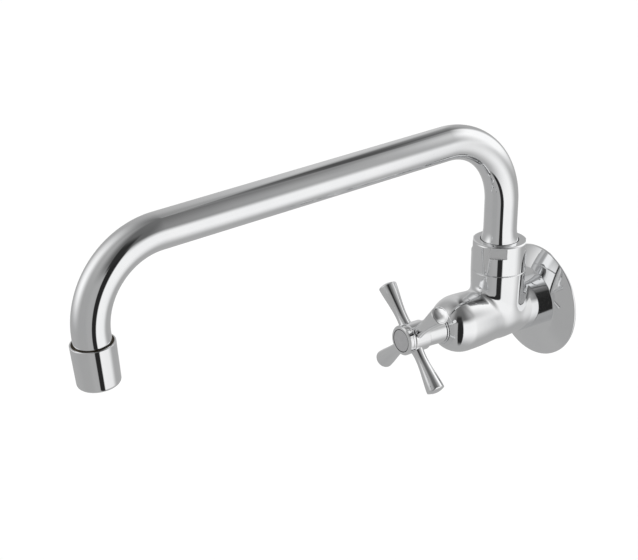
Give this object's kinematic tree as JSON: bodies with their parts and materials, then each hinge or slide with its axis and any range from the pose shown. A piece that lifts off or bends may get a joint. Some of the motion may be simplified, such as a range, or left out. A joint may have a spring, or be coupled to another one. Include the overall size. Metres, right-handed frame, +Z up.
{
  "type": "wall-mounted kitchen tap",
  "caption": "Wall-mounted tap: round flange, horizontal barrel with a globe end, a cross handle in front, and a bent tubular spout that swings on an upright branch.",
  "frame": {"origin": "on the barrel's axis in the wall plane, which is the back of the wall flange and the shoulder line of the inlet thread", "axes": "+Z up along the branch that carries the spout; -Y out from the wall along the barrel, towards the user; +X to the right as the user sees it"},
  "size_m": [0.0704, 0.3335, 0.1601],
  "materials": {
    "chrome": "bright plated, polished",
    "brass": "machined",
    "rubber": "moulded, matt",
    "fibre": "pressed fibre, matt",
    "ceramic": "lapped",
    "plastic": "moulded, satin",
    "steel": "stainless, satin"
  },
  "bodies": {
    "body": {"body_casting": "chrome", "wall_flange": "chrome", "wall_gasket": "rubber", "inlet_nipple": "brass", "inlet_washer": "fibre", "seat_seal": "rubber", "fixed_disc": "ceramic", "headwork_body": "brass", "headwork_ring": "rubber", "shroud_sleeve": "chrome", "spout_nut": "chrome", "swivel_washer": "plastic", "slip_ring": "plastic"},
    "handle": {"cross_handle": "chrome", "index_cap": "chrome", "index_plate": "chrome", "handle_screw": "steel", "spindle": "brass", "spindle_rings": "rubber", "retaining_ring": "steel", "turning_disc": "ceramic"},
    "spout": {"spout_tube": "chrome", "spout_spigot": "brass", "spigot_rings": "rubber", "outlet_bush": "brass", "aerator_housing": "chrome", "aerator_washer": "rubber", "aerator_insert": "plastic", "aerator_screen": "steel"}
  },
  "joints": [
    {"name": "handle_turn", "type": "hinge", "parent": "body", "child": "handle", "pos_m": [0, -0.0998, 0], "axis": [0, -1, 0], "range_deg": [0, 90]},
    {"name": "spout_swivel", "type": "hinge", "parent": "body", "child": "spout", "pos_m": [0, -0.0331, 0.04], "axis": [0, 0, 1], "range_deg": [-90, 90]}
  ]
}
